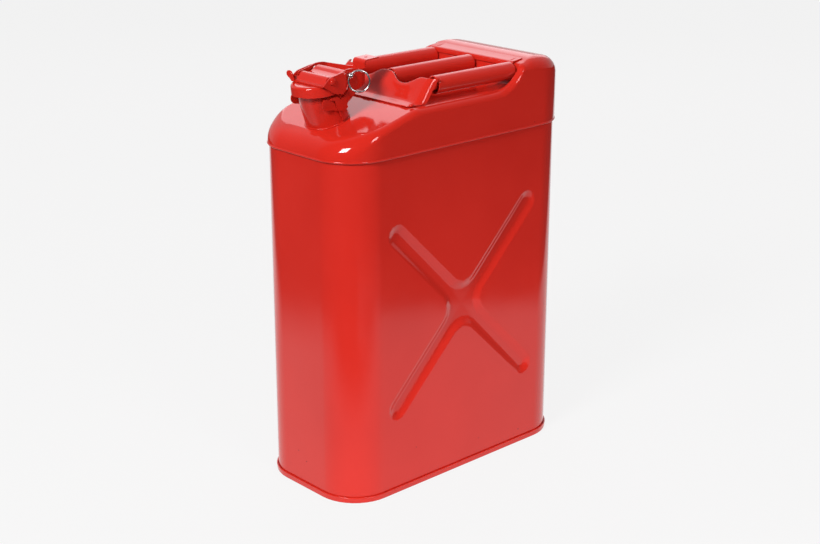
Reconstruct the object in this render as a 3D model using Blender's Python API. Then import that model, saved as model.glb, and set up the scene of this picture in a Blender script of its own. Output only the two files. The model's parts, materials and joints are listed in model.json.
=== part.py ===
"""Red steel 20 litre safety fuel can: body, handle, filler neck and cam-lever closure.

Frame: metres, +Z up, origin on the ground under the middle of the can.
+X is the rear (hump end), -X is the spout end, -Y is the wide side with the ring.
"""
import math

import bmesh
import bpy
import numpy as np
from mathutils import Matrix, Vector

MM = 0.001

# ---------------------------------------------------------------- driving dimensions
LENGTH = 0.345            # over the top and bottom seams, along X
DEPTH = 0.165             # over the seams, along Y
CORNER = 0.0496           # plan corner radius of the outside
SHEET = 0.0015            # pressed top, bottom pan
WALL = 0.0012             # body wrapper
GAP = 0.0003              # running and assembly gap between pieces
WRAP_INSET = 0.0018       # wrapper sits this far inside the seams
SEAM_Z = 0.391            # lower edge of the pressed top
WRAP_TOP = 0.3930         # upper edge of the wrapper, inside the top
HEM_Z = 0.0065            # height of the bottom hem

FLOOR_Z = 0.4385          # floor of the hand recess
SHOULDER_TILT = math.radians(15.3)
NECK_BASE = Vector((-0.1293, 0.0, 0.4225))
NECK_TOP = Vector((-0.1440, 0.0, 0.4590))
NECK_BASE_R = 0.0236
NECK_TOP_R = 0.0216
NECK_WALL = 0.0011
CAP_TILT = math.radians(5.0)
CAP_ORIGIN = Vector((-0.1440, 0.0, 0.4550))   # middle of the cap skirt's lower edge
CAP_R = 0.0264
CAP_H = 0.0110

HINGE = Vector((-0.1110, 0.0, 0.4460))        # cap hinge axis, along Y
PIVOT = Vector((-0.1443, 0.0, 0.4703))        # lever pivot axis, along Y
PIN = Vector((-0.1228, 0.0, 0.4738))          # safety pin axis, along Y

FAR_TONGUE = 1.28             # the collar's far tongue is this much longer than its near one

BAR_R = 0.0100
BAR_Y = 0.0630
BAR_Z = 0.4560
BAR_X = (-0.0325, 0.0860)
CROSS_Z = 0.2030              # height of the pressed cross's centre
PLATE_FOOT_X = -0.0625        # foot of the leaning front plate
PLATE_LEAN = 0.742            # how far it leans back per unit of height

# crest line of the pressed top: (x, height over the middle, height along the flank), mm
CREST = [
    (-172.5, 410.6, 410.6), (-73.8, 437.6, 437.6), (-66.0, 438.5, 438.5),
    (-40.0, 438.5, 438.5), (0.0, 438.5, 438.5), (40.0, 438.5, 438.5),
    (52.0, 438.5, 439.0), (60.0, 438.5, 440.4), (68.0, 438.6, 443.2),
    (75.0, 438.9, 447.2), (80.0, 439.8, 451.4), (83.5, 441.4, 455.2),
    (86.0, 444.6, 458.7), (87.4, 450.0, 461.0), (88.1, 456.0, 462.2),
    (88.8, 461.0, 462.9), (90.5, 463.6, 464.3), (94.0, 465.1, 465.5),
    (103.9, 467.0, 467.2), (106.0, 468.9, 468.9), (116.0, 470.0, 470.0),
    (126.0, 469.6, 469.6), (136.0, 468.2, 468.2), (146.0, 466.0, 466.0), (156.0, 462.8, 462.8),
    (172.5, 456.5, 456.5),
]


# ---------------------------------------------------------------- scene and mesh helpers
def clear_scene():
    for obj in list(bpy.data.objects):
        bpy.data.objects.remove(obj, do_unlink=True)
    for block in list(bpy.data.meshes):
        bpy.data.meshes.remove(block)
    for block in list(bpy.data.materials):
        bpy.data.materials.remove(block)


def material(name, colour, rough, metal=0.0):
    mat = bpy.data.materials.new(name)
    mat.use_nodes = True
    bsdf = mat.node_tree.nodes["Principled BSDF"]
    bsdf.inputs["Base Color"].default_value = (*colour, 1.0)
    bsdf.inputs["Roughness"].default_value = rough
    bsdf.inputs["Metallic"].default_value = metal
    mat.diffuse_color = (*colour, 1.0)
    return mat


def add_mesh(name, verts, faces, colour):
    """New object from plain vertex and face lists, with its own material."""
    mesh = bpy.data.meshes.new(name)
    mesh.from_pydata([tuple(v) for v in verts], [], faces)
    mesh.validate()
    obj = bpy.data.objects.new(name, mesh)
    bpy.context.scene.collection.objects.link(obj)
    style = COLOURS[colour]
    mesh.materials.append(material(name + "_mat", style[0], style[1], style[2]))
    fix_normals(obj)
    return obj


def fix_normals(obj):
    bm = bmesh.new()
    bm.from_mesh(obj.data)
    bmesh.ops.remove_doubles(bm, verts=bm.verts, dist=1e-7)
    bmesh.ops.recalc_face_normals(bm, faces=bm.faces)
    bm.to_mesh(obj.data)
    bm.free()


def bake(obj):
    """Replace the mesh by its evaluated copy, so that later cuts start from it."""
    deps = bpy.context.evaluated_depsgraph_get()
    deps.update()
    mesh = bpy.data.meshes.new_from_object(obj.evaluated_get(deps))
    old = obj.data
    obj.modifiers.clear()
    obj.data = mesh
    bpy.data.meshes.remove(old)


def combine(obj, other, operation):
    """Boolean with a second object, which is used up."""
    mod = obj.modifiers.new("cut", "BOOLEAN")
    mod.operation = operation
    mod.solver = "EXACT"
    mod.object = other
    bake(obj)
    bpy.data.objects.remove(other, do_unlink=True)


def thicken(obj, thickness):
    """Give an open surface a wall on its inner side."""
    mod = obj.modifiers.new("wall", "SOLIDIFY")
    mod.thickness = thickness
    mod.offset = -1.0
    mod.use_even_offset = False
    mod.use_quality_normals = True
    bake(obj)


def finish_round(obj, angle=35.0):
    """Smooth shading with the corners kept sharp."""
    mesh = obj.data
    mesh.shade_smooth()
    mesh.set_sharp_from_angle(angle=math.radians(angle))


def set_origin(obj, point):
    """Move the object's origin without moving its mesh."""
    obj.data.transform(Matrix.Translation(-Vector(point)))
    obj.location = point


def bridge(count, lower, upper):
    """Quads between two closed rings of `count` vertices, given their first indices."""
    faces = []
    for i in range(count):
        j = (i + 1) % count
        faces.append((lower + i, lower + j, upper + j, upper + i))
    return faces


def prism_xz(name, points, y0, y1, colour):
    """Extrude a closed outline in X and Z (mm) from y0 to y1 (m)."""
    n = len(points)
    verts = [(x * MM, y0, z * MM) for x, z in points]
    verts += [(x * MM, y1, z * MM) for x, z in points]
    faces = bridge(n, 0, n)
    faces.append(tuple(range(n)))
    faces.append(tuple(range(n, 2 * n)))
    return add_mesh(name, verts, faces, colour)


def revolve(name, rings, centre, axis, colour, steps=32):
    """Closed solid of revolution; rings are (radius, height) round a closed section."""
    axis = Vector(axis).normalized()
    side = Vector((0, 1, 0)) if abs(axis.y) < 0.9 else Vector((1, 0, 0))
    u = (side - axis * side.dot(axis)).normalized()
    v = axis.cross(u)
    verts = []
    for radius, height in rings:
        for k in range(steps):
            a = 2 * math.pi * k / steps
            verts.append(Vector(centre) + axis * height + (u * math.cos(a) + v * math.sin(a)) * radius)
    faces = []
    n = len(rings)
    solid = rings[0][0] == 0 or rings[-1][0] == 0
    for r in range(n if not solid else n - 1):
        faces += bridge(steps, r * steps, ((r + 1) % n) * steps)
    obj = add_mesh(name, verts, faces, colour)
    return obj


def rod(name, start, end, radius, colour, steps=20, edge=0.0):
    """Round bar between two points with small edge breaks."""
    start = Vector(start)
    axis = Vector(end) - start
    length = axis.length
    axis.normalize()
    side = Vector((0, 0, 1)) if abs(axis.z) < 0.9 else Vector((1, 0, 0))
    u = axis.cross(side).normalized()
    v = axis.cross(u)
    rings = [(radius - edge, 0.0), (radius, edge), (radius, length - edge), (radius - edge, length)]
    if edge == 0.0:
        rings = [(radius, 0.0), (radius, length)]
    verts = []
    for r, h in rings:
        for k in range(steps):
            a = 2 * math.pi * k / steps
            verts.append(start + axis * h + (u * math.cos(a) + v * math.sin(a)) * r)
    faces = []
    for i in range(len(rings) - 1):
        faces += bridge(steps, i * steps, (i + 1) * steps)
    faces.append(tuple(range(steps)))
    faces.append(tuple(range((len(rings) - 1) * steps, len(rings) * steps)))
    return add_mesh(name, verts, faces, colour)


def ribbon(name, stations, colour, caps=True):
    """Bent strip: every station is (outer low, outer high, inner high, inner low)."""
    verts = [p for station in stations for p in station]
    faces = []
    for i in range(len(stations) - 1):
        faces += bridge(4, 4 * i, 4 * i + 4)
    if caps:
        faces.append((0, 1, 2, 3))
        last = 4 * (len(stations) - 1)
        faces.append((last, last + 1, last + 2, last + 3))
    return add_mesh(name, verts, faces, colour)


def arc(cx, cz, radius, start, end, steps):
    """Points on an arc in degrees, for outlines in mm."""
    points = []
    for k in range(steps + 1):
        a = math.radians(start + (end - start) * k / steps)
        points.append((cx + radius * math.cos(a), cz + radius * math.sin(a)))
    return points


def side_outline(inset, stations, corner_steps):
    """Half outline of the can on the -Y side, front to rear: (point, inward normal)."""
    hx = LENGTH / 2 - inset
    hy = DEPTH / 2 - inset
    r = CORNER - inset
    half = []
    for k in range(corner_steps + 1):
        a = math.pi + math.pi / 2 * k / corner_steps
        half.append((Vector((-hx + r + r * math.cos(a), -hy + r + r * math.sin(a))),
                     Vector((-math.cos(a), -math.sin(a)))))
    for x in stations:
        half.append((Vector((x, -hy)), Vector((0, 1))))
    for k in range(corner_steps + 1):
        a = 1.5 * math.pi + math.pi / 2 * k / corner_steps
        half.append((Vector((hx - r + r * math.cos(a), -hy + r + r * math.sin(a))),
                     Vector((-math.cos(a), -math.sin(a)))))
    return half


def full_outline(inset, stations=(), corner_steps=10):
    """Whole outline, counter-clockwise seen from above."""
    near = side_outline(inset, stations, corner_steps)
    far = [(Vector((p.x, -p.y)), Vector((n.x, -n.y))) for p, n in reversed(near)]
    return near + far


# ---------------------------------------------------------------- shared surfaces
def crest(x, flank):
    """Height of the pressed top at x, over the middle or along the flank."""
    xs = [row[0] * MM for row in CREST]
    zs = [row[2 if flank else 1] * MM for row in CREST]
    return float(np.interp(x, xs, zs))


def edge_radius(x):
    """Rounding between the side walls and the top: large at the ends, tight in between."""
    xs = [-0.1725, -0.150, -0.120, 0.0906, 0.118, 0.1725]
    rs = [0.0190, 0.0170, 0.0075, 0.0078, 0.0150, 0.0160]
    return float(np.interp(x, xs, rs))


def neck_frame(v):
    """Centre, tilt and outer radius of the neck at v = 0 (base) to 1 (top)."""
    centre = NECK_BASE.lerp(NECK_TOP, v)
    tilt = SHOULDER_TILT + (CAP_TILT - SHOULDER_TILT) * v
    radius = NECK_BASE_R + (NECK_TOP_R - NECK_BASE_R) * v
    return centre, tilt, radius


def neck_point(v, angle, offset=0.0, lift=0.0):
    """Point on the neck; angle 0 is the rear, offset is added to the outer radius."""
    centre, tilt, radius = neck_frame(v)
    back = Vector((math.cos(tilt), 0.0, math.sin(tilt)))
    up = Vector((-math.sin(tilt), 0.0, math.cos(tilt)))
    r = radius + offset
    return centre + back * (r * math.cos(angle)) + Vector((0, r * math.sin(angle), 0)) + up * lift


def cap_axis():
    return Vector((-math.sin(CAP_TILT), 0.0, math.cos(CAP_TILT)))


# ---------------------------------------------------------------- can body
def cross_contour(inset, steps=7):
    """Outline of the pressed cross, `inset` inwards from its outer edge, in X and Z."""
    centre = Vector((0.0, CROSS_Z))
    half = 0.0145 - inset
    fillet = 0.0170 + inset
    reach = 0.1425
    points = []
    for arm in range(4):
        angle = math.radians(45 + 90 * arm)
        along = Vector((math.cos(angle), math.sin(angle)))
        across = Vector((-along.y, along.x))
        for k in range(steps + 1):
            a = -math.pi / 2 + math.pi * k / steps
            points.append(centre + along * (reach + half * math.cos(a)) + across * (half * math.sin(a)))
        middle = centre + (along + across) * (half + fillet)
        for k in range(5):
            a = angle + math.pi * 1.5 - math.pi / 2 * k / 4
            points.append(middle + Vector((math.cos(a), math.sin(a))) * fillet)
    return points


def fill_cross(bm, ring, steps=7):
    """Flat floor of the pressed cross: a fan about the centre, and a strip and a rounded tip for each arm."""
    per_arm = steps + 6
    hub = bm.verts.new((0.0, ring[0].co.y, CROSS_Z))
    for arm in range(4):
        start = arm * per_arm
        tip = ring[start:start + steps + 1]
        fillet = ring[start + steps + 1:start + per_arm]
        before = ring[start - 1]
        bm.faces.new((before, tip[0], tip[-1], fillet[0]))
        bm.faces.new(tip)
        bm.faces.new((hub, before, fillet[0]))
        for here, there in zip(fillet, fillet[1:]):
            bm.faces.new((hub, here, there))


def pressed_face(verts, faces, side, y_wall, x_edge, z_low, z_high):
    """Flat wide wall with the pressed cross, added to the wrapper's vertex lists."""
    bm = bmesh.new()
    frame = [(-x_edge, z_low), (x_edge, z_low), (x_edge, z_high), (-x_edge, z_high)]
    corners = [bm.verts.new((x, side * y_wall, z)) for x, z in frame]
    rings = []
    for inset, depth in ((0.0, 0.0), (0.0018, 0.0002), (0.0044, 0.0012),
                         (0.0072, 0.0025), (0.0098, 0.0033), (0.0116, 0.0035)):
        ring = [bm.verts.new((p.x, side * (y_wall - depth), p.y)) for p in cross_contour(inset)]
        rings.append(ring)
    edges = []
    for loop in (corners, rings[0]):
        for i, vert in enumerate(loop):
            edges.append(bm.edges.new((vert, loop[(i + 1) % len(loop)])))
    bmesh.ops.triangle_fill(bm, edges=edges, use_beauty=True)
    inside = [f for f in bm.faces if all(v in rings[0] for v in f.verts)
              and cross_holds(f.calc_center_median())]
    bmesh.ops.delete(bm, geom=inside, context="FACES_ONLY")
    for lower, upper in zip(rings, rings[1:]):
        for i in range(len(lower)):
            j = (i + 1) % len(lower)
            bm.faces.new((lower[i], lower[j], upper[j], upper[i]))
    fill_cross(bm, rings[-1])
    bmesh.ops.triangulate(bm, faces=[f for f in bm.faces if len(f.verts) > 4])
    bm.verts.index_update()
    base = len(verts)
    verts.extend(v.co.copy() for v in bm.verts)
    for f in bm.faces:
        faces.append(tuple(base + v.index for v in f.verts))
    bm.free()


def cross_holds(point):
    """True for a point of the wide wall that lies inside the pressed cross."""
    dx = point.x
    dz = point.z - CROSS_Z
    along = abs(dx + dz) / math.sqrt(2)
    across = abs(dx - dz) / math.sqrt(2)
    return min(along, across) < 0.0145


def wrapper_skin(inset):
    """One skin of the wrapper, with the indices of its lower and upper rims."""
    z_low, z_high = 0.0018, WRAP_TOP
    outline = [p for p, _ in full_outline(inset, (), 12)]
    n = len(outline)
    verts = [Vector((p.x, p.y, z_low)) for p in outline]
    verts += [Vector((p.x, p.y, z_high)) for p in outline]
    faces = []
    for i in range(n):
        j = (i + 1) % n
        flat = abs(outline[i].y - outline[j].y) < 1e-9 and abs(outline[i].x - outline[j].x) > 0.1
        if not flat:
            faces.append((i, j, n + j, n + i))
    for side in (-1, 1):
        pressed_face(verts, faces, side, DEPTH / 2 - inset, LENGTH / 2 - CORNER, z_low, z_high)
    return verts, faces, n


def build_body_shell():
    """Wrapper: a tube of sheet with rounded corners and a pressed cross on both wide sides."""
    verts, faces, n = wrapper_skin(WRAP_INSET)
    inner_verts, inner_faces, _ = wrapper_skin(WRAP_INSET + WALL)
    base = len(verts)
    verts += inner_verts
    faces += [tuple(base + i for i in face) for face in inner_faces]
    for i in range(n):
        j = (i + 1) % n
        faces.append((i, j, base + j, base + i))
        faces.append((n + i, n + j, base + n + j, base + n + i))
    obj = add_mesh("body_shell", verts, faces, "paint")
    finish_round(obj, 30)
    return obj


def point_outwards(obj, middle):
    """Turn an open surface so that its faces look away from a middle point."""
    bm = bmesh.new()
    bm.from_mesh(obj.data)
    score = 0.0
    for f in bm.faces:
        score += f.normal.dot(f.calc_center_median() - middle) * f.calc_area()
    if score < 0:
        bmesh.ops.reverse_faces(bm, faces=bm.faces)
    bm.to_mesh(obj.data)
    bm.free()


def build_bottom_pan():
    """Pressed floor: proud hem outside the wrapper, raised panel inside it."""
    section = [(0.0, HEM_Z), (0.0, 0.0012), (0.0006, 0.0003), (0.0014, 0.0), (0.0080, 0.0),
               (0.0100, 0.0010), (0.0135, 0.0062), (0.0155, 0.0072)]
    inner = [(0.0155, 0.0084), (0.0128, 0.0074), (0.0093, 0.0020), (0.0076, 0.0012),
             (0.0016, 0.0012), (0.0012, 0.0016), (0.0012, HEM_Z)]
    verts = []
    faces = []
    count = 0
    for inset, z in section + inner:
        ring = [p for p, _ in full_outline(inset, (), 10)]
        count = len(ring)
        verts += [Vector((p.x, p.y, z)) for p in ring]
    total = len(section) + len(inner)
    for r in range(total):
        if r != len(section) - 1:
            faces += bridge(count, r * count, ((r + 1) % total) * count)
    low = (len(section) - 1) * count
    faces.append(tuple(range(low, low + count)))
    faces.append(tuple(range(low + count, low + 2 * count)))
    obj = add_mesh("bottom_pan", verts, faces, "paint")
    finish_round(obj, 40)
    return obj


def offset_crest(x, flank, depth):
    """Crest line moved `depth` into the sheet, square to its own slope."""
    if depth == 0.0:
        return crest(x, flank)
    lowest = 1.0
    for k in range(-12, 13):
        d = depth * k / 12
        lowest = min(lowest, crest(x + d, flank) - math.sqrt(max(depth * depth - d * d, 0.0)))
    return lowest


def top_skin(depth):
    """One skin of the pressed top: rings from the skirt up, then strips across the crest."""
    stations = [-0.110, -0.095]
    for row in CREST:
        if -80 < row[0] < 120:
            stations.append(row[0] * MM + (depth if 83 < row[0] < 92 else 0.0))
    skirt = full_outline(depth, stations, 9)
    rings = [[Vector((p.x, p.y, SEAM_Z)) for p, _ in skirt]]
    for turn in (0, 18, 36, 54, 72, 90):
        a = math.radians(turn)
        ring = []
        for p, normal in skirt:
            radius = edge_radius(p.x) - depth
            q = p + normal * (radius * (1 - math.cos(a)))
            height = offset_crest(q.x, True, depth)
            ring.append(Vector((q.x, q.y, height - radius * (1 - math.sin(a)))))
        rings.append(ring)
    count = len(skirt)
    verts = [v for ring in rings for v in ring]
    faces = []
    for r in range(len(rings) - 1):
        faces += bridge(count, r * count, (r + 1) * count)
    last = (len(rings) - 1) * count
    inner = {}
    for i in range(count // 2):
        x = verts[last + i].x
        if stations[0] - 1e-6 <= x <= 0.0925 and abs(verts[last + i].y) > 0.0742:
            inner[i] = len(verts)
            height = offset_crest(x, False, depth)
            y = 0.0739 + depth * 0.3
            verts.append(Vector((x, -y, height)))
            verts.append(Vector((x, y, height)))
    for i in range(count // 2 - 1):
        a, b = last + i, last + i + 1
        c, d = last + count - 2 - i, last + count - 1 - i
        if i in inner and i + 1 in inner:
            p, q = inner[i], inner[i + 1]
            faces += [(a, b, q, p), (p, q, q + 1, p + 1), (p + 1, q + 1, c, d)]
        elif i in inner:
            faces.append((a, b, c, d, inner[i] + 1, inner[i]))
        elif i + 1 in inner:
            faces.append((a, b, inner[i + 1], inner[i + 1] + 1, c, d))
        else:
            faces.append((a, b, c, d))
    return verts, faces, count


def build_top_shell():
    """Pressed top: skirt, sloping shoulder, hand recess and rear hump, with the neck hole."""
    verts, faces, count = top_skin(0.0)
    inner_verts, inner_faces, _ = top_skin(SHEET)
    base = len(verts)
    verts += inner_verts
    faces += [tuple(base + i for i in face) for face in inner_faces]
    faces += bridge(count, 0, base)
    obj = add_mesh("top_shell", verts, faces, "paint")
    centre, tilt, radius = neck_frame(0.0)
    up = Vector((-math.sin(tilt), 0.0, math.cos(tilt)))
    hole = rod("hole", centre - up * 0.012, centre + up * 0.012, radius + 0.0006, "paint", 48)
    combine(obj, hole, "DIFFERENCE")
    finish_round(obj, 50)
    return obj


# ---------------------------------------------------------------- neck
def build_filler_neck():
    """Leaning, slightly tapered filler tube with a rolled sealing lip."""
    steps = 40
    levels = [(-0.09, 0.0, 0.0), (0.0, 0.0, 0.0), (0.3, 0.0, 0.0), (0.6, 0.0, 0.0),
              (0.92, 0.0, 0.0), (1.0, 0.0009, 0.0001), (1.0, 0.0019, 0.0009),
              (1.0, 0.0016, 0.0019), (1.0, 0.0006, 0.0024), (1.0, -0.0006, 0.0019),
              (1.0, -NECK_WALL, 0.0009), (0.92, -NECK_WALL, 0.0), (0.6, -NECK_WALL, 0.0),
              (0.3, -NECK_WALL, 0.0), (0.0, -NECK_WALL, 0.0), (-0.09, -NECK_WALL, 0.0)]
    verts = []
    faces = []
    for v, offset, lift in levels:
        for k in range(steps):
            verts.append(neck_point(v, 2 * math.pi * k / steps, offset, lift))
    for r in range(len(levels)):
        faces += bridge(steps, r * steps, ((r + 1) % len(levels)) * steps)
    obj = add_mesh("filler_neck", verts, faces, "paint")
    finish_round(obj)
    return obj


def collar_station(v_low, v_high, angle):
    low, high = 0.0004, 0.0016
    return (neck_point(v_low, angle, high), neck_point(v_high, angle, high),
            neck_point(v_high, angle, low), neck_point(v_low, angle, low))


def finger_station(side, forward, half_height):
    """Straight tongue of the collar, `forward` of the neck's side."""
    out = neck_point(0.58, side * math.pi / 2, 0.0016)
    inn = neck_point(0.58, side * math.pi / 2, 0.0004)
    shift = Vector((-forward, 0.0, 0.12 * forward))
    up = Vector((0, 0, half_height))
    return (out + shift - up, out + shift + up, inn + shift + up, inn + shift - up)


def build_neck_collar():
    """Strap round the back of the neck with a tongue on each side and two hinge ears."""
    tongue = [(0.0168, 0.0014), (0.0163, 0.0032), (0.0150, 0.0047), (0.0130, 0.0056),
              (0.0080, 0.0059), (0.0030, 0.0059)]
    stations = [finger_station(-1, f, h) for f, h in tongue]
    stations.append(collar_station(0.40, 0.72, math.radians(-90)))
    stations.append(collar_station(0.40, 0.72, math.radians(-86)))
    for k in range(17):
        stations.append(collar_station(0.07, 0.72, math.radians(-84 + 168 * k / 16)))
    stations.append(collar_station(0.40, 0.72, math.radians(86)))
    stations.append(collar_station(0.40, 0.72, math.radians(90)))
    stations += [finger_station(1, f * FAR_TONGUE, h) for f, h in reversed(tongue)]
    obj = ribbon("neck_collar", stations, "paint")
    hx, hz = HINGE.x / MM, HINGE.z / MM
    relief = Vector((0, 0.0080, 0))
    gap = rod("gap", HINGE - relief, HINGE + relief, 0.0053, "paint", 32)
    combine(obj, gap, "DIFFERENCE")
    outline = [(-118.4, 450.0), (-113.2, 439.4)] + arc(hx, hz, 4.3, -80, 80, 8)
    for side in (-1, 1):
        y0, y1 = sorted((side * 0.0090, side * 0.0104))
        ear = prism_xz("ear", outline, y0, y1, "paint")
        combine(obj, ear, "UNION")
    bore = rod("bore", HINGE - Vector((0, 0.02, 0)), HINGE + Vector((0, 0.02, 0)), 0.0023, "paint", 20)
    combine(obj, bore, "DIFFERENCE")
    finish_round(obj)
    return obj


def build_hinge_pin():
    rings = [(0.0, -0.0126), (0.0028, -0.0123), (0.0031, -0.0116), (0.0031, -0.0108),
             (0.0020, -0.0108), (0.0020, 0.0108), (0.0031, 0.0108), (0.0031, 0.0116),
             (0.0028, 0.0123), (0.0, 0.0126)]
    obj = revolve("hinge_pin", rings, HINGE, (0, 1, 0), "steel", 20)
    finish_round(obj)
    return obj


def build_breather_tube():
    """Vent tube from the mouth of the neck back to the air space under the recess."""
    path = [(-146.5, 455.0), (-141.0, 441.0), (-133.0, 424.0), (-126.0, 414.0), (-115.0, 407.5),
            (-95.0, 407.0), (-60.0, 411.0), (-20.0, 417.0), (20.0, 423.0)]
    points = [Vector((x * MM, 0.0128, z * MM)) for x, z in path]
    points[0].y = 0.0150
    steps = 14
    verts = []
    faces = []
    rings = []
    for radius in (0.0036, 0.0028):
        for i, p in enumerate(points):
            ahead = points[min(i + 1, len(points) - 1)] - points[max(i - 1, 0)]
            ahead.normalize()
            u = Vector((0, 1, 0)) - ahead * ahead.y
            u.normalize()
            w = ahead.cross(u)
            ring = []
            for k in range(steps):
                a = 2 * math.pi * k / steps
                ring.append(p + (u * math.cos(a) + w * math.sin(a)) * radius)
            rings.append(ring)
    n = len(points)
    order = list(range(n)) + list(range(2 * n - 1, n - 1, -1))
    for index in order:
        verts += rings[index]
    for r in range(2 * n):
        faces += bridge(steps, r * steps, ((r + 1) % (2 * n)) * steps)
    obj = add_mesh("breather_tube", verts, faces, "steel")
    finish_round(obj)
    return obj


# ---------------------------------------------------------------- carrying handle
def plate_top(y):
    """Top edge of the front plate: a lobe in front of every bar, a dip between them."""
    y = abs(y) / MM
    ys = [0.0, 8.0, 13.0, 19.0, 25.0, 31.5, 38.0, 44.0, 50.0, 55.0, 80.0]
    zs = [466.2, 465.6, 463.2, 459.8, 457.6, 457.0, 457.8, 460.4, 463.8, 465.6, 466.0]
    return float(np.interp(y, ys, zs)) * MM


def build_handle_front_plate():
    """Pressed plate in front of the bars: foot flange, leaning face, rolled top and sides."""
    columns = []
    for y in (0, 8, 13, 19, 25, 31.5, 38, 44, 50, 55, 60, 65):
        columns.append((y * MM, 0.0))
    columns += [(0.0660, 0.0003), (0.0673, 0.0012), (0.0692, 0.0032), (0.0709, 0.0058),
                (0.0721, 0.0088), (0.0728, 0.0120)]
    columns = [(-y, back) for y, back in reversed(columns)] + [(y, back) for y, back in columns[1:]]
    rows = []
    for y, back in columns:
        top = plate_top(y) - 0.0006
        foot = Vector((PLATE_FOOT_X + back * 0.9, y, 0.4402))
        ridge = Vector((foot.x + (top - 0.4400) * PLATE_LEAN, y, top))
        rolled = back > 0.0001
        column = []
        if not rolled:
            column += [Vector((-0.0738, y, 0.4394)), Vector((-0.0668, y, 0.4410))]
        else:
            pull = min(1.0, back / 0.012)
            column += [Vector((foot.x - 0.0113 * (1 - pull) - 0.0008, y, 0.4396 + 0.0002 * pull)),
                       Vector((foot.x - 0.0043 * (1 - pull) - 0.0004, y, 0.4404))]
        for t in (0.12, 0.5, 0.86):
            column.append(foot.lerp(ridge, t))
        for out, drop in ((0.0002, 0.0012), (0.0010, 0.0002), (0.0021, 0.0003), (0.0030, 0.0012)):
            shrink = 1.0 - 0.5 * min(1.0, back / 0.010)
            column.append(Vector((ridge.x + out * shrink, y, ridge.z - drop)))
        rows.append(column)
    n = len(rows[0])
    verts = [p for column in rows for p in column]
    faces = []
    for c in range(len(rows) - 1):
        for r in range(n - 1):
            a = c * n + r
            faces.append((a, a + 1, a + n + 1, a + n))
    obj = add_mesh("handle_front_plate", verts, faces, "paint")
    point_outwards(obj, Vector((-0.03, 0, 0.43)))
    thicken(obj, 0.0012)
    finish_round(obj, 50)
    return obj


def build_handle_rear_plate():
    """Strap across the front of the hump: rests on it and turns down behind the bars."""
    outline = [(86.5, 460.6), (86.5, 464.4), (86.9, 465.6), (87.9, 466.3), (90.5, 466.9)]
    xs = (94.0, 98.0, 103.5)
    outline += [(x, crest(x * MM, True) / MM + 1.5) for x in xs]
    outline += [(x, crest(x * MM, True) / MM + 0.35) for x in reversed(xs)]
    outline += [(90.4, 465.0), (88.6, 464.4), (87.7, 463.2), (87.5, 460.6)]
    obj = prism_xz("handle_rear_plate", outline, -0.0660, 0.0590, "paint")
    finish_round(obj, 50)
    return obj


def build_handle_bar(name, y, front, nose):
    """Round tube bar, open at both ends, its rear edge drawn in over the length `nose`."""
    steps = 28
    verts = []
    faces = []
    ends = [(front, BAR_R - 0.0005), (front + 0.0005, BAR_R), (BAR_X[1] - nose, BAR_R),
            (BAR_X[1] - nose * 0.33, BAR_R - nose * 0.2), (BAR_X[1], BAR_R - nose * 0.66),
            (BAR_X[1] - 0.0014, BAR_R - nose * 0.66 - 0.0012), (front, BAR_R - 0.0014)]
    for x, r in ends:
        for k in range(steps):
            a = 2 * math.pi * k / steps
            verts.append(Vector((x, y + r * math.cos(a), BAR_Z + r * math.sin(a))))
    for i in range(len(ends)):
        faces += bridge(steps, i * steps, ((i + 1) % len(ends)) * steps)
    obj = add_mesh(name, verts, faces, "paint")
    finish_round(obj, 50)
    return obj


def build_bar_stub(name, y, radius, gap):
    """Plug between the leaning front plate and the open end of a bar; it fits inside the bar."""
    steps = 24
    verts = []
    for end in (0, 1):
        for k in range(steps):
            a = 2 * math.pi * k / steps
            z = BAR_Z + radius * math.sin(a)
            x = BAR_X[0] + 0.009 if end else PLATE_FOOT_X + (z - 0.4400) * PLATE_LEAN + gap
            verts.append(Vector((x, y + radius * math.cos(a), z)))
    faces = bridge(steps, 0, steps)
    faces.append(tuple(range(steps)))
    faces.append(tuple(range(steps, 2 * steps)))
    obj = add_mesh(name, verts, faces, "paint")
    finish_round(obj, 50)
    return obj


def build_leg_weld(name, side):
    """Small weld bead at the foot of a handle leg."""
    rings = [(0.0, 0.0), (0.0026, 0.0), (0.0030, 0.0006), (0.0026, 0.0015), (0.0014, 0.0022), (0.0, 0.0024)]
    obj = revolve(name, rings, (-0.0712, side * 0.0700, 0.4402), (-0.2, 0, 1), "paint", 14)
    finish_round(obj, 60)
    return obj


# ---------------------------------------------------------------- cap and closure
def build_cap_shell():
    rings = [(0.0, 0.0110), (0.0232, 0.0110), (0.0248, 0.0106), (0.0259, 0.0096), (0.0264, 0.0082),
             (0.0264, 0.0), (0.0252, 0.0), (0.0252, 0.0080), (0.0246, 0.0092), (0.0232, 0.0098),
             (0.0, 0.0098)]
    obj = revolve("cap_shell", rings, CAP_ORIGIN, cap_axis(), "paint", 48)
    finish_round(obj)
    return obj


def build_cap_gasket():
    rings = [(0.0182, 0.0071), (0.0244, 0.0071), (0.0249, 0.0076), (0.0245, 0.0090), (0.0186, 0.0094),
             (0.0182, 0.0090)]
    obj = revolve("cap_gasket", rings, CAP_ORIGIN, cap_axis(), "rubber", 40)
    finish_round(obj)
    return obj


def build_gasket_retainer():
    rings = [(0.0, 0.0080), (0.0168, 0.0080), (0.0176, 0.0086), (0.0176, 0.0094), (0.0, 0.0094)]
    obj = revolve("gasket_retainer", rings, CAP_ORIGIN, cap_axis(), "steel", 32)
    finish_round(obj)
    return obj


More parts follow.
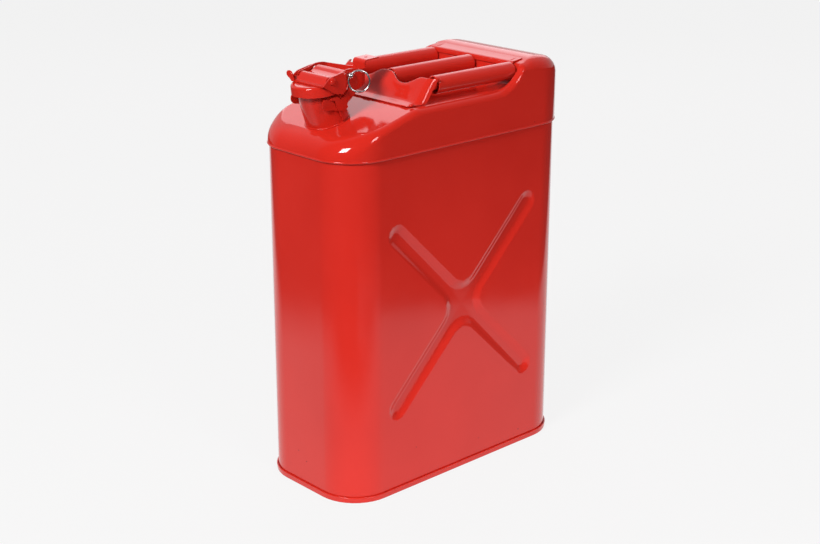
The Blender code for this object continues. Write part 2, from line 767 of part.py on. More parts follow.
def build_cap_bridge():
    """Folded bracket on the cap: front lip, two rolled eyes, side cheeks and hinge arms."""
    ax, az = PIVOT.x / MM, PIVOT.z / MM
    bx, bz = PIN.x / MM, PIN.z / MM
    front = [(-158.0, 465.15), (-158.0, 466.50), (-152.6, 467.0), (-148.6, 472.4), (-146.7, 474.1)]
    front += [(ax + 0.6, 474.5), (-141.2, 473.8), (-137.0, 472.9), (-131.0, 475.0), (-130.0, 475.5)]
    front += [(-130.0, 473.9), (-131.4, 473.5), (-137.0, 471.3), (-140.4, 470.6)]
    front += arc(ax, az, 4.0, -15, -150, 7)
    front += [(-151.4, 465.75)]
    obj = prism_xz("cap_bridge", front, -0.0240, 0.0200, "paint")
    rear = [(-130.8, 473.75), (-130.8, 475.12), (-127.4, 477.2)]
    rear += arc(bx, bz, 4.6, 118, -160, 16)
    part = prism_xz("rear", rear, -0.0238, 0.0205, "paint")
    combine(obj, part, "UNION")
    lip = [(-155.2, 465.5), (-155.2, 466.6), (-152.7, 466.9), (-150.3, 470.1), (-149.4, 469.6), (-151.5, 465.8)]
    part = prism_xz("lip", lip, -0.0280, 0.0280, "paint")
    combine(obj, part, "UNION")
    near = [(-157.9, 465.25), (-157.9, 466.4), (-155.0, 466.55), (-155.0, 465.55)]
    part = prism_xz("near", near, -0.0280, -0.0230, "paint")
    combine(obj, part, "UNION")
    cheek = [(-156.8, 466.2), (-150.6, 471.6), (-146.3, 474.4), (-138.0, 476.2), (-129.0, 478.0)]
    cheek += arc(bx, bz, 5.0, 80, -30, 6)
    cheek += arc(ax, az, 21.6, -12, -48, 5)
    cheek += [(-134.5, 455.3), (-139.0, 455.9), (-144.5, 458.3), (-150.0, 461.8), (-154.8, 464.9)]
    for side in (-1, 1):
        y0, y1 = sorted((side * 0.0267, side * 0.0281))
        part = prism_xz("cheek", cheek, y0, y1, "paint")
        combine(obj, part, "UNION")
    hx, hz = HINGE.x / MM, HINGE.z / MM
    arm = [(-119.0, 469.8), (-117.5, 468.4), (-116.6, 458.0), (-115.2, 450.0)]
    arm += arc(hx, hz, 4.2, 170, 370, 10)
    arm += [(-107.6, 456.0), (-110.6, 468.0), (-116.3, 475.0), (-118.6, 475.4), (-119.2, 472.0)]
    for side in (-1, 1):
        y0, y1 = sorted((side * 0.0056, side * 0.0072))
        part = prism_xz("arm", arm, y0, y1, "paint")
        combine(obj, part, "UNION")
    for centre, radius in ((PIVOT, 0.0023), (PIN, 0.0023), (HINGE, 0.0023)):
        offset = Vector((0, 0.04, 0))
        bore = rod("bore", centre - offset, centre + offset, radius, "paint", 20)
        combine(obj, bore, "DIFFERENCE")
    finish_round(obj, 30)
    return obj


def build_seal_lug():
    """Small upright ear at the far front corner of the lip."""
    points = [(16.6, 465.4), (21.4, 465.4), (22.8, 467.6), (26.6, 469.2), (29.0, 471.2), (29.4, 473.8),
              (27.6, 475.9), (24.6, 476.6), (21.6, 475.8), (19.6, 473.4), (18.4, 469.8)]
    n = len(points)
    verts = [Vector((-0.1600, y * MM, z * MM)) for y, z in points]
    verts += [Vector((-0.1586, y * MM, z * MM)) for y, z in points]
    faces = bridge(n, 0, n)
    faces.append(tuple(range(n)))
    faces.append(tuple(range(n, 2 * n)))
    obj = add_mesh("seal_lug", verts, faces, "paint")
    finish_round(obj, 30)
    return obj


def build_pivot_rivet():
    rings = [(0.0, -0.0306), (0.0024, -0.0304), (0.0037, -0.0297), (0.0042, -0.0284), (0.0020, -0.0284),
             (0.0020, 0.0284), (0.0042, 0.0284), (0.0037, 0.0297), (0.0024, 0.0304), (0.0, 0.0306)]
    obj = revolve("pivot_rivet", rings, PIVOT, (0, 1, 0), "paint", 20)
    finish_round(obj)
    return obj


def lever_side():
    """Outline of one side plate of the lever, X and Z in mm."""
    ax, az = PIVOT.x / MM, PIVOT.z / MM
    points = arc(ax, az, 3.9, 110, 290, 9)
    points += [(-140.9, 468.8), (-127.0, 476.2), (-119.6, 476.8)]
    points += arc(ax, az, 25.7, 0, -60, 9)
    points += [(-135.3, 452.4), (-140.0, 452.2), (-144.4, 451.4), (-144.9, 450.2), (-144.2, 449.2),
               (-139.6, 448.6), (-134.4, 437.2), (-127.2, 436.0), (-121.6, 439.2), (-122.6, 443.8),
               (-112.9, 451.0), (-109.9, 454.6), (-109.9, 478.9), (-113.5, 479.5), (-118.6, 479.9)]
    points += [(-124.0, 479.4), (-135.0, 476.2)]
    return points


def build_cam_lever():
    """Stamped lever: side plates on the rivet, tapering walls and a thumb tab at the rear."""
    t = 0.0014
    path = [(-0.1126, -0.02602), (-0.1084, -0.02602), (-0.1060, -0.0251), (-0.0980, -0.0198),
            (-0.0880, -0.0132), (-0.0842, -0.0103), (-0.0822, -0.0078)]
    lows = [0.4560, 0.4562, 0.4563, 0.4567, 0.4575, 0.4580, 0.4585]
    highs = [0.4788, 0.4784, 0.4779, 0.4762, 0.4742, 0.4737, 0.4736]
    path += [(x, -y) for x, y in reversed(path)]
    lows += lows[::-1]
    highs += highs[::-1]
    stations = []
    for i, (x, y) in enumerate(path):
        before = Vector(path[max(i - 1, 0)])
        after = Vector(path[min(i + 1, len(path) - 1)])
        along = (after - before).normalized()
        inward = Vector((-along.y, along.x)) * (t + 0.00004)
        outer = Vector((x, y))
        inner = outer + inward
        stations.append((Vector((outer.x, outer.y, lows[i])), Vector((outer.x, outer.y, highs[i])),
                         Vector((inner.x, inner.y, highs[i])), Vector((inner.x, inner.y, lows[i]))))
    obj = ribbon("cam_lever", stations, "paint")
    tab = [(-83.75, 470.6), (-83.75, 478.4)] + arc(-79.5, 478.4, 4.25, 180, 90, 5)[1:]
    tab += [(-64.0, 483.3), (-63.2, 482.6), (-63.4, 481.8)]
    tab += arc(-79.5, 478.4, 2.75, 90, 180, 5) + [(-82.10, 470.6)]
    tongue = prism_xz("tongue", tab, -0.0098, 0.0098, "paint")
    hole = rod("hole", (-0.0735, 0, 0.470), (-0.0735, 0, 0.490), 0.0021, "paint", 18)
    combine(tongue, hole, "DIFFERENCE")
    combine(obj, tongue, "UNION")
    for side in (-1, 1):
        y0, y1 = sorted((side * 0.0246, side * 0.0260))
        plate = prism_xz("plate", lever_side(), y0, y1, "paint")
        combine(obj, plate, "UNION")
    offset = Vector((0, 0.04, 0))
    bore = rod("bore", PIVOT - offset, PIVOT + offset, 0.0023, "paint", 20)
    combine(obj, bore, "DIFFERENCE")
    finish_round(obj, 30)
    return obj


def ring_axes():
    """Ring centre direction from the pin's knob, and the axis of the cross hole."""
    toward = Vector((0.650, -0.530, -0.545)).normalized()
    normal = Vector((-0.585, -0.790, 0.130))
    normal = (normal - toward * normal.dot(toward)).normalized()
    return toward, normal.cross(toward).normalized(), normal


RING_R = 0.0112
RING_WIRE = 0.0010
KNOB = Vector((PIN.x, -0.0312, PIN.z))


def build_safety_pin():
    """Locking pin with a drilled knob for the pull ring."""
    rings = [(0.0, -0.0350), (0.0014, -0.0347), (0.0024, -0.0339), (0.0030, -0.0329), (0.0032, -0.0318),
             (0.0030, -0.0308), (0.0025, -0.0298), (0.0019, -0.0292), (0.0019, 0.0236), (0.0013, 0.0244),
             (0.0, 0.0246)]
    obj = revolve("safety_pin", rings, PIN, (0, 1, 0), "steel", 20)
    toward, across, _ = ring_axes()
    bore = rod("bore", KNOB - across * 0.006, KNOB + across * 0.006, 0.0016, "steel", 16)
    combine(obj, bore, "DIFFERENCE")
    finish_round(obj)
    return obj


def build_pull_ring():
    toward, across, normal = ring_axes()
    centre = KNOB + toward * RING_R
    rings = []
    for k in range(8):
        a = 2 * math.pi * k / 8
        rings.append((RING_R + RING_WIRE * math.cos(a), RING_WIRE * math.sin(a)))
    obj = revolve("pull_ring", rings, centre, normal, "steel", 44)
    finish_round(obj, 60)
    return obj


# ---------------------------------------------------------------- assembly
COLOURS = {
    "paint": ((0.55, 0.016, 0.012), 0.22, 0.0),
    "steel": ((0.62, 0.62, 0.64), 0.25, 1.0),
    "rubber": ((0.02, 0.02, 0.02), 0.80, 0.0),
}


def main():
    clear_scene()
    build_bottom_pan()
    build_body_shell()
    build_top_shell()
    build_filler_neck()
    build_neck_collar()
    build_hinge_pin()
    build_breather_tube()
    build_handle_front_plate()
    build_handle_rear_plate()
    build_handle_bar("handle_bar_near", -BAR_Y, BAR_X[0], 0.0010)
    build_handle_bar("handle_bar_middle", 0.0, BAR_X[0] - 0.0045, 0.0030)
    build_handle_bar("handle_bar_far", BAR_Y, BAR_X[0], 0.0010)
    build_bar_stub("bar_stub_near", -BAR_Y, 0.0055, 0.0054)
    build_bar_stub("bar_stub_middle", 0.0, 0.0075, 0.0036)
    build_bar_stub("bar_stub_far", BAR_Y, 0.0055, 0.0054)
    build_leg_weld("leg_weld_near", -1)
    build_leg_weld("leg_weld_far", 1)
    hinged = [build_cap_shell(), build_cap_gasket(), build_gasket_retainer(), build_cap_bridge(),
              build_seal_lug(), build_pivot_rivet()]
    for obj in hinged:
        set_origin(obj, HINGE)
    set_origin(build_cam_lever(), PIVOT)
    set_origin(build_safety_pin(), PIN)
    set_origin(build_pull_ring(), KNOB)


main()
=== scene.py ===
"""Looks of the safety gas can: gloss paint, weld beads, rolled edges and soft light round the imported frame."""
import json
import math

import bmesh
import bpy
from mathutils import Matrix, Vector

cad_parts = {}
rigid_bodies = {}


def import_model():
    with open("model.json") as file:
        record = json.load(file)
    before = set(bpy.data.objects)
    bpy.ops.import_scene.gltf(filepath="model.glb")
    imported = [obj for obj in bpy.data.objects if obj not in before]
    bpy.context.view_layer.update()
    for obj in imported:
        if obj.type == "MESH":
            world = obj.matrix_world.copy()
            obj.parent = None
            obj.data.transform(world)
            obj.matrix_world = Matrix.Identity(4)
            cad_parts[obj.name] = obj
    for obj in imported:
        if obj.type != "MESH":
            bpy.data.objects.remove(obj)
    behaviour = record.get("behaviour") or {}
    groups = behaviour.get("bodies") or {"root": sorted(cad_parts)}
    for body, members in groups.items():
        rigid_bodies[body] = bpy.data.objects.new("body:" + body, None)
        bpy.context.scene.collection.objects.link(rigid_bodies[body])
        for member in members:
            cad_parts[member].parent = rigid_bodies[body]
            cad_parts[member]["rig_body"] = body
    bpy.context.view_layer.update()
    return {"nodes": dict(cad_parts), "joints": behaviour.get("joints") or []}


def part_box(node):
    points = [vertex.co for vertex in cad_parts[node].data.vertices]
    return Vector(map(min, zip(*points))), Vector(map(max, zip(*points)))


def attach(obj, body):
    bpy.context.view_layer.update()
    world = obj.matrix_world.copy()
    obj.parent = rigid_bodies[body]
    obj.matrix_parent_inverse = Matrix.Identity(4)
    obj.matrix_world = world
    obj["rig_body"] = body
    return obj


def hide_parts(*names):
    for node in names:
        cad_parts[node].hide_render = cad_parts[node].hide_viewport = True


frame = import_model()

MM = 0.001
PAINT_RED = (0.575, 0.0215, 0.0125, 1.0)
PAINT_DEEP = (0.535, 0.0180, 0.0100, 1.0)
SPECK = (0.055, 0.008, 0.006, 1.0)
STEEL = (0.640, 0.640, 0.655, 1.0)
STEEL_STAIN = (0.40, 0.39, 0.38, 1.0)
RUBBER = (0.018, 0.018, 0.019, 1.0)
RUBBER_BLOOM = (0.045, 0.043, 0.042, 1.0)
GLOSS_TINT = (1.0, 0.72, 0.76, 1.0)
FLOOR_PALE = (0.05, 0.05, 0.05, 1.0)
FLOOR_DARK = (0.12, 0.12, 0.12, 1.0)
# emission colour of the floor's painted pool of light
FLOOR_PAINTED_LIGHT = (0.868, 0.868, 0.868, 1.0)
SURROUND_DARK = (0.09, 0.075, 0.078, 1)
SURROUND_LIGHT = (0.62, 0.54, 0.55, 1)
BODY_CORNER = 49.6 * MM         # plan radius of the can's corners
NECK_FOOT = (-0.1293, 0.0, 0.4229)
NECK_FOOT_LEAN = 15.3           # slope of the shoulder under the neck, degrees


# ---------------------------------------------------------------- materials
def new_material(name):
    mat = bpy.data.materials.new(name)
    mat.use_nodes = True
    tree = mat.node_tree
    return mat, tree, tree.nodes["Principled BSDF"]


def noise(tree, scale, detail=3.0, rough=0.5):
    """Noise over the object's own metres."""
    place = tree.nodes.new("ShaderNodeTexCoord")
    node = tree.nodes.new("ShaderNodeTexNoise")
    node.inputs["Scale"].default_value = scale
    node.inputs["Detail"].default_value = detail
    node.inputs["Roughness"].default_value = rough
    tree.links.new(place.outputs["Object"], node.inputs["Vector"])
    return node.outputs["Fac"]


def ramp(tree, value, low, high, first=(0, 0, 0, 1), last=(1, 1, 1, 1)):
    node = tree.nodes.new("ShaderNodeValToRGB")
    node.color_ramp.elements[0].position = low
    node.color_ramp.elements[0].color = first
    node.color_ramp.elements[1].position = high
    node.color_ramp.elements[1].color = last
    tree.links.new(value, node.inputs["Fac"])
    return node.outputs["Color"]


def mix(tree, factor, first, second):
    """Colour mix; first and second are colours or node outputs."""
    node = tree.nodes.new("ShaderNodeMix")
    node.data_type = "RGBA"
    tree.links.new(factor, node.inputs["Factor"])
    for socket, value in ((node.inputs[6], first), (node.inputs[7], second)):
        if isinstance(value, tuple):
            socket.default_value = value
        else:
            tree.links.new(value, socket)
    return node.outputs[2]


def bump(tree, height, strength, distance, under=None):
    node = tree.nodes.new("ShaderNodeBump")
    node.inputs["Strength"].default_value = strength
    node.inputs["Distance"].default_value = distance
    tree.links.new(height, node.inputs["Height"])
    if under is not None:
        tree.links.new(under, node.inputs["Normal"])
    return node.outputs["Normal"]


def product(tree, first, second):
    node = tree.nodes.new("ShaderNodeMath")
    node.operation = "MULTIPLY"
    tree.links.new(first, node.inputs[0])
    tree.links.new(second, node.inputs[1])
    return node.outputs[0]


def specks(tree, scale, size):
    """Factor that is 1 in small scattered dots and 0 elsewhere."""
    place = tree.nodes.new("ShaderNodeTexCoord")
    cells = tree.nodes.new("ShaderNodeTexVoronoi")
    cells.inputs["Scale"].default_value = scale
    tree.links.new(place.outputs["Object"], cells.inputs["Vector"])
    dots = ramp(tree, cells.outputs["Distance"], size * 0.7, size, (1, 1, 1, 1), (0, 0, 0, 1))
    rare = ramp(tree, noise(tree, scale * 0.37, 1.0), 0.60, 0.64)
    return product(tree, dots, rare)


def gloss_paint(name, peel=0.10, wave=0.10, dust=True):
    """Gloss enamel on sheet steel: slight colour drift, orange peel, slow panel waves, dust nibs."""
    mat, tree, shader = new_material(name)
    drift = ramp(tree, noise(tree, 9.0, 2.0), 0.35, 0.68)
    colour = mix(tree, drift, PAINT_RED, PAINT_DEEP)
    fine = ramp(tree, noise(tree, 160.0, 4.0), 0.42, 0.66)
    veil = tree.nodes.new("ShaderNodeMath")
    veil.operation = "MULTIPLY"
    veil.inputs[1].default_value = 0.10
    tree.links.new(fine, veil.inputs[0])
    colour = mix(tree, veil.outputs[0], colour, PAINT_DEEP)
    if dust:
        nibs = specks(tree, 42.0, 0.035)
        colour = mix(tree, nibs, colour, SPECK)
    tree.links.new(colour, shader.inputs["Base Color"])
    smear = noise(tree, 30.0, 3.0)
    rough = tree.nodes.new("ShaderNodeMapRange")
    rough.inputs["From Min"].default_value = 0.30
    rough.inputs["From Max"].default_value = 0.75
    rough.inputs["To Min"].default_value = 0.07
    rough.inputs["To Max"].default_value = 0.12
    tree.links.new(smear, rough.inputs["Value"])
    tree.links.new(rough.outputs["Result"], shader.inputs["Roughness"])
    shader.inputs["Metallic"].default_value = 0.0
    shader.inputs["IOR"].default_value = 1.50
    shader.inputs["Specular IOR Level"].default_value = 0.44
    shader.inputs["Specular Tint"].default_value = GLOSS_TINT
    shader.inputs["Coat Weight"].default_value = 0.14
    shader.inputs["Coat Roughness"].default_value = 0.045
    shader.inputs["Coat IOR"].default_value = 1.50
    slow = bump(tree, noise(tree, 14.0, 1.0), wave, 0.0030)
    peeled = bump(tree, noise(tree, 420.0, 2.0), peel, 0.00025, slow)
    tree.links.new(peeled, shader.inputs["Normal"])
    tree.links.new(peeled, shader.inputs["Coat Normal"])
    return mat


def weld_paint():
    """Enamel over a rippled weld bead."""
    return gloss_paint("weld_paint", 0.25, 0.3, False)


def bright_steel(name, lines=900.0):
    """Zinc-bright drawn wire: fine lengthwise scratches and faint tarnish."""
    mat, tree, shader = new_material(name)
    stain = ramp(tree, noise(tree, 240.0, 4.0), 0.40, 0.75)
    colour = mix(tree, stain, STEEL, STEEL_STAIN)
    tree.links.new(colour, shader.inputs["Base Color"])
    rough = tree.nodes.new("ShaderNodeMapRange")
    rough.inputs["To Min"].default_value = 0.14
    rough.inputs["To Max"].default_value = 0.34
    tree.links.new(noise(tree, 500.0, 3.0), rough.inputs["Value"])
    tree.links.new(rough.outputs["Result"], shader.inputs["Roughness"])
    shader.inputs["Metallic"].default_value = 1.0
    tree.links.new(bump(tree, noise(tree, lines, 3.0), 0.15, 0.0001), shader.inputs["Normal"])
    return mat


def black_rubber():
    mat, tree, shader = new_material("fuel_rubber")
    bloom = ramp(tree, noise(tree, 120.0, 4.0), 0.45, 0.8)
    colour = mix(tree, bloom, RUBBER, RUBBER_BLOOM)
    tree.links.new(colour, shader.inputs["Base Color"])
    shader.inputs["Roughness"].default_value = 0.62
    tree.links.new(bump(tree, noise(tree, 900.0, 3.0), 0.3, 0.0002), shader.inputs["Normal"])
    return mat


def finish_node(node, mat, angle=35.0, edge=0.0):
    """Stand a smooth-shaded copy in for a CAD node; its cut edges are eased by `edge`."""
    source = frame["nodes"][node]
    bm = bmesh.new()
    for v in source.data.vertices:
        bm.verts.new(v.co)
    bm.verts.ensure_lookup_table()
    for face in source.data.polygons:
        bm.faces.new([bm.verts[i] for i in face.vertices])
    bmesh.ops.remove_doubles(bm, verts=bm.verts, dist=0.002 * MM)
    if edge:
        bmesh.ops.dissolve_limit(bm, angle_limit=math.radians(0.6), verts=bm.verts, edges=bm.edges)
    bmesh.ops.recalc_face_normals(bm, faces=bm.faces)
    mesh = bpy.data.meshes.new(node + "_finish")
    bm.to_mesh(mesh)
    bm.free()
    mesh.materials.append(mat)
    mesh.shade_smooth()
    mesh.set_sharp_from_angle(angle=math.radians(angle))
    obj = bpy.data.objects.new(node + "_finish", mesh)
    bpy.context.scene.collection.objects.link(obj)
    if edge:
        ease = obj.modifiers.new("ease", "BEVEL")
        ease.width = edge
        ease.segments = 2
        ease.limit_method = "ANGLE"
        ease.angle_limit = math.radians(angle)
        ease.use_clamp_overlap = True
    even = obj.modifiers.new("even", "WEIGHTED_NORMAL")
    even.keep_sharp = True
    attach(obj, source["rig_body"])
    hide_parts(node)
    return obj


# ---------------------------------------------------------------- pieces
def add_piece(name, verts, faces, mat, body):
    mesh = bpy.data.meshes.new(name)
    mesh.from_pydata([tuple(v) for v in verts], [], faces)
    mesh.materials.append(mat)
    obj = bpy.data.objects.new(name, mesh)
    bpy.context.scene.collection.objects.link(obj)
    bm = bmesh.new()
    bm.from_mesh(mesh)
    bmesh.ops.recalc_face_normals(bm, faces=bm.faces)
    bm.to_mesh(mesh)
    bm.free()
    mesh.shade_smooth()
    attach(obj, body)
    return obj


def bead(name, path, radius, mat, body, ripple=0.16, pitch=0.0022, flat=0.75, closed=False,
         step=0.55 * MM):
    """Weld bead along a path: a low rippled tube, squashed to `flat` of its height."""
    points = resample(path, step, closed)
    count = len(points)
    steps = 10
    verts = []
    faces = []
    for i, p in enumerate(points):
        before = points[(i - 1) % count] if closed or i > 0 else p
        after = points[(i + 1) % count] if closed or i < count - 1 else p
        along = (after - before).normalized()
        side = along.cross(Vector((0, 0, 1)))
        if side.length < 0.1:
            side = along.cross(Vector((0, 1, 0)))
        side.normalize()
        up = side.cross(along)
        grow = 1.0 + ripple * math.sin(2 * math.pi * i * step / pitch)
        grow *= 1.0 + ripple * (0.5 * math.sin(i * 0.37) + 0.3 * math.sin(i * 1.13))
        if not closed:
            grow *= min(1.0, 0.35 + 0.22 * min(i, count - 1 - i))
        for k in range(steps):
            a = 2 * math.pi * k / steps
            verts.append(p + (side * math.cos(a) + up * math.sin(a) * flat) * radius * grow)
    for i in range(count if closed else count - 1):
        j = (i + 1) % count
        for k in range(steps):
            m = (k + 1) % steps
            faces.append((i * steps + k, i * steps + m, j * steps + m, j * steps + k))
    if not closed:
        faces.append(tuple(range(steps)))
        faces.append(tuple(range((count - 1) * steps, count * steps)))
    return add_piece(name, verts, faces, mat, body)


def resample(path, step, closed):
    """Even points along a polyline."""
    path = [Vector(p) for p in path]
    if closed:
        path.append(path[0])
    out = []
    left = 0.0
    for a, b in zip(path, path[1:]):
        length = (b - a).length
        d = left
        while d < length:
            out.append(a.lerp(b, d / length))
            d += step
        left = d - length
    if not closed:
        out.append(path[-1])
    return out


def ring_path(centre, radius, tilt, steps=72):
    """Points on a circle whose plane leans by `tilt` about Y."""
    back = Vector((math.cos(tilt), 0.0, math.sin(tilt)))
    across = Vector((0.0, 1.0, 0.0))
    points = []
    for k in range(steps):
        a = 2 * math.pi * k / steps
        points.append(centre + back * (radius * math.cos(a)) + across * (radius * math.sin(a)))
    return points


def neck_weld(mat):
    """Fillet where the filler neck meets the sloping shoulder."""
    low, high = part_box("filler_neck")
    radius = (high.y - low.y) / 2 + 0.35 * MM
    path = ring_path(Vector(NECK_FOOT), radius, math.radians(NECK_FOOT_LEAN))
    bead("neck_weld", path, 0.85 * MM, mat, "can",
         ripple=0.10, pitch=2.4 * MM, flat=0.7, closed=True)


def handle_welds(mat):
    """Tacks along the front plate's foot, at the bars' ends and at the rear strap."""
    low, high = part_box("handle_front_plate")
    foot_x = low.x + 0.2 * MM
    for label, y0, y1 in (("near", -0.0660, -0.0560), ("far", 0.0560, 0.0660),
                          ("mid", -0.006, 0.006)):
        path = [(foot_x, y0, low.z + 0.9 * MM), (foot_x, y1, low.z + 0.9 * MM)]
        bead("foot_weld_" + label, path, 0.9 * MM, mat, "can", ripple=0.2)
    for node in ("handle_bar_near", "handle_bar_middle", "handle_bar_far"):
        b_low, b_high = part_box(node)
        y = (b_low.y + b_high.y) / 2
        z = (b_low.z + b_high.z) / 2
        r = (b_high.z - b_low.z) / 2 - 0.2 * MM
        path = []
        for k in range(13):
            a = math.radians(200 + 140 * k / 12)
            path.append((b_high.x - 0.3 * MM, y + r * math.cos(a), z + r * math.sin(a)))
        bead(node.replace("handle_", "") + "_rear_weld", path, 0.9 * MM, mat, "can", ripple=0.2)
    s_low, s_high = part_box("handle_rear_plate")
    for label, side in (("near", -1), ("far", 1)):
        y = side * (s_high.y + 0.2 * MM)
        path = [(s_low.x + 3.0 * MM, y, s_high.z - 2.2 * MM),
                (s_high.x - 1.5 * MM, y, s_high.z - 0.8 * MM)]
        bead("strap_weld_" + label, path, 0.8 * MM, mat, "can", ripple=0.2)


def collar_welds(mat):
    """Spot tacks that hold the collar's ears."""
    hinge = Vector(next(j for j in frame["joints"] if j["name"] == "cap_swing")["pos_m"])
    for label, side in (("near", -1), ("far", 1)):
        y = side * 8.6 * MM
        path = [(hinge.x - 4.6 * MM, y, hinge.z - 4.6 * MM), (hinge.x - 6.4 * MM, y, hinge.z + 1.8 * MM)]
        bead("ear_weld_" + label, path, 0.6 * MM, mat, "can", ripple=0.25, pitch=1.6 * MM)


def rounded_outline(low, high, z, grow, steps=14):
    """Rounded rectangle round a box's plan, `grow` outside it."""
    points = []
    radius = BODY_CORNER + grow
    for index, (sx, sy) in enumerate(((1, 1), (-1, 1), (-1, -1), (1, -1))):
        cx = high.x - BODY_CORNER if sx > 0 else low.x + BODY_CORNER
        cy = high.y - BODY_CORNER if sy > 0 else low.y + BODY_CORNER
        for k in range(steps + 1):
            a = math.radians(90 * index + 90 * k / steps)
            points.append((cx + radius * math.cos(a), cy + radius * math.sin(a), z))
    return points


def seam_rolls(mat):
    """Half-round rolls along the lower edge of the pressed top and above the base hem."""
    low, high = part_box("top_shell")
    path = rounded_outline(low, high, low.z + 1.2 * MM, -0.45 * MM)
    bead("seam_roll", path, 1.15 * MM, mat, "can", ripple=0.0, flat=1.0, closed=True, step=4.0 * MM)
    low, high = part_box("bottom_pan")
    path = rounded_outline(low, high, 6.2 * MM, -0.55 * MM)
    bead("chime_roll", path, 0.95 * MM, mat, "can", ripple=0.0, flat=1.0, closed=True, step=4.0 * MM)


# ---------------------------------------------------------------- stage
def floor_edge(tree, along, across, slope, dark, bright):
    """Soft straight edge of the painted pool of light on the floor: 0 where across + slope * along is below
    dark, 1 above bright.
    """
    lean = tree.nodes.new("ShaderNodeMath")
    lean.operation = "MULTIPLY_ADD"
    lean.inputs[1].default_value = slope
    tree.links.new(along, lean.inputs[0])
    tree.links.new(across, lean.inputs[2])
    edge = tree.nodes.new("ShaderNodeMapRange")
    edge.interpolation_type = "SMOOTHSTEP"
    edge.inputs["From Min"].default_value = dark
    edge.inputs["From Max"].default_value = bright
    tree.links.new(lean.outputs[0], edge.inputs["Value"])
    return edge.outputs["Result"]


def stage_floor():
    """Pale sweep with a painted pool of light: it glows where the can stands and behind it, and gets no glow and
    stays darker on the camera's side.
    """
    mesh = bpy.data.meshes.new("floor")
    half = 9.0
    corners = [(-half, -half, 0), (half, -half, 0), (half, half, 0), (-half, half, 0)]
    mesh.from_pydata(corners, [], [(0, 1, 2, 3)])
    floor = bpy.data.objects.new("floor", mesh)
    bpy.context.scene.collection.objects.link(floor)
    mat, tree, shader = new_material("pale_floor")
    place = tree.nodes.new("ShaderNodeTexCoord")
    split = tree.nodes.new("ShaderNodeSeparateXYZ")
    tree.links.new(place.outputs["Object"], split.inputs["Vector"])
    front = floor_edge(tree, split.outputs["X"], split.outputs["Y"], -0.62, -0.78, -0.63)
    left = floor_edge(tree, split.outputs["Y"], split.outputs["X"], -0.54, -0.90, -0.58)
    near = floor_edge(tree, split.outputs["X"], split.outputs["Y"], 0.92, -0.78, -0.42)
    # Inside this mask the floor glows as a painted pool of light; outside it, on the camera's side, it gets no
    # glow and stays darker.
    painted_light_pool = product(tree, product(tree, front, left), near)
    colour = mix(tree, painted_light_pool, FLOOR_DARK, FLOOR_PALE)
    tree.links.new(colour, shader.inputs["Base Color"])
    painted_glow = mix(tree, painted_light_pool, (0, 0, 0, 1), FLOOR_PAINTED_LIGHT)
    tree.links.new(painted_glow, shader.inputs["Emission Color"])
    shader.inputs["Emission Strength"].default_value = 1.0
    shader.inputs["Roughness"].default_value = 0.9
    shader.inputs["Specular IOR Level"].default_value = 0.0
    mesh.materials.append(mat)


def softbox(name, place, aim, size, power, colour=(1, 1, 1)):
    light = bpy.data.lights.new(name, "AREA")
    light.shape = "RECTANGLE"
    light.size = size[0]
    light.size_y = size[1]
    light.energy = power
    light.color = colour
    obj = bpy.data.objects.new(name, light)
    obj.location = place
    obj.rotation_euler = (Vector(aim) - Vector(place)).to_track_quat("-Z", "Y").to_euler()
    bpy.context.scene.collection.objects.link(obj)
    return obj


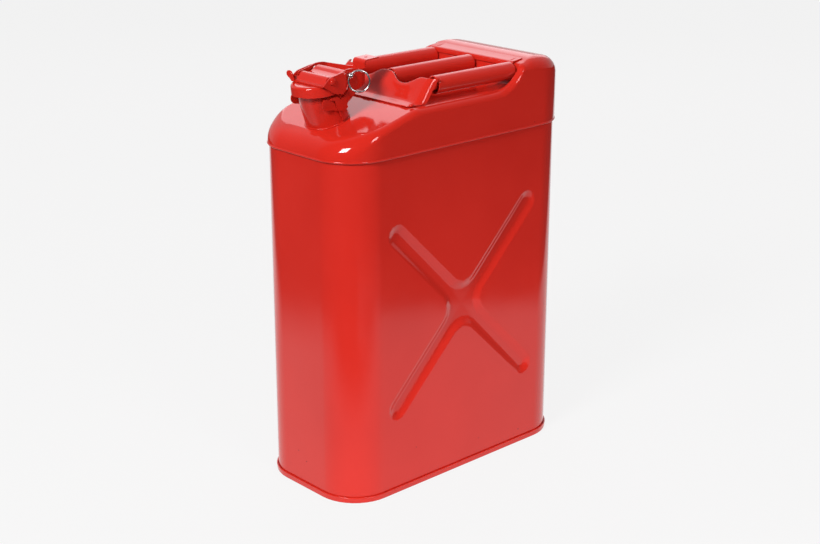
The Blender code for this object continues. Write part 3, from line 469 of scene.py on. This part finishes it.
def studio():
    """Plain soft light: a box on each side, a broad one behind, a low fill and a pale surround."""
    softbox("key_left", (-2.1, -0.5, 1.9), (0, 0, 0.25), (0.7, 0.7), 74.0)
    softbox("key_right", (-0.3, -2.2, 1.9), (0, 0, 0.25), (0.7, 0.7), 20.0)
    softbox("behind", (1.6, 1.6, 1.55), (0, 0, 0.45), (2.2, 1.6), 13.0, (1.0, 0.86, 0.90))
    low_fill = softbox("low_fill", (-0.10, -0.62, 0.03), (0.0, 0.0, 0.06), (0.7, 0.1), 1.7,
                       (1.0, 0.90, 0.95))
    low_fill.visible_glossy = False
    low_fill.visible_camera = False
    world = bpy.data.worlds.new("surround")
    world.use_nodes = True
    tree = world.node_tree
    place = tree.nodes.new("ShaderNodeTexCoord")
    split = tree.nodes.new("ShaderNodeSeparateXYZ")
    tree.links.new(place.outputs["Generated"], split.inputs["Vector"])
    total = tree.nodes.new("ShaderNodeMath")
    total.operation = "ADD"
    tree.links.new(split.outputs["X"], total.inputs[0])
    tree.links.new(split.outputs["Y"], total.inputs[1])
    tone = ramp(tree, total.outputs[0], 0.0, 0.75, SURROUND_DARK, SURROUND_LIGHT)
    tree.links.new(tone, tree.nodes["Background"].inputs["Color"])
    bpy.context.scene.world = world
    bpy.context.scene.view_settings.view_transform = "Standard"


def camera():
    lens = bpy.data.cameras.new("camera")
    lens.sensor_width = 36.0
    lens.lens = 66.38
    lens.clip_end = 60.0
    obj = bpy.data.objects.new("camera", lens)
    turn = Matrix(((0.734764, 0.219222, -0.641922), (-0.678323, 0.238189, -0.695086),
                   (0.000521, 0.946154, 0.323716)))
    obj.matrix_world = Matrix.Translation((-1.13898, -1.22427, 0.79224)) @ turn.to_4x4()
    bpy.context.scene.collection.objects.link(obj)
    bpy.context.scene.camera = obj


# ---------------------------------------------------------------- assembly
def main():
    paint = gloss_paint("red_enamel")
    fitting_paint = gloss_paint("red_enamel_fittings", 0.16, 0.06, False)
    steel = bright_steel("bright_wire")
    tube = bright_steel("drawn_tube", 300.0)
    rubber = black_rubber()
    finishes = {
        "bottom_pan": (paint, 42.0, 0.0), "body_shell": (paint, 42.0, 0.0),
        "top_shell": (paint, 42.0, 0.0),
        "filler_neck": (fitting_paint, 60.0, 0.0), "cap_shell": (fitting_paint, 50.0, 0.0),
        "handle_bar_near": (paint, 50.0, 0.0), "handle_bar_middle": (paint, 50.0, 0.0),
        "handle_bar_far": (paint, 50.0, 0.0), "handle_front_plate": (paint, 60.0, 0.0),
        "safety_pin": (steel, 40.0, 0.0), "pull_ring": (steel, 60.0, 0.0),
        "gasket_retainer": (tube, 40.0, 0.0), "breather_tube": (tube, 50.0, 0.0),
        "cap_gasket": (rubber, 40.0, 0.0),
    }
    for node in sorted(frame["nodes"]):
        mat, angle, edge = finishes.get(node, (fitting_paint, 38.0, 0.25 * MM))
        finish_node(node, mat, angle, edge)
    beads = weld_paint()
    neck_weld(beads)
    handle_welds(beads)
    collar_welds(beads)
    seam_rolls(paint)
    stage_floor()
    studio()
    camera()


main()
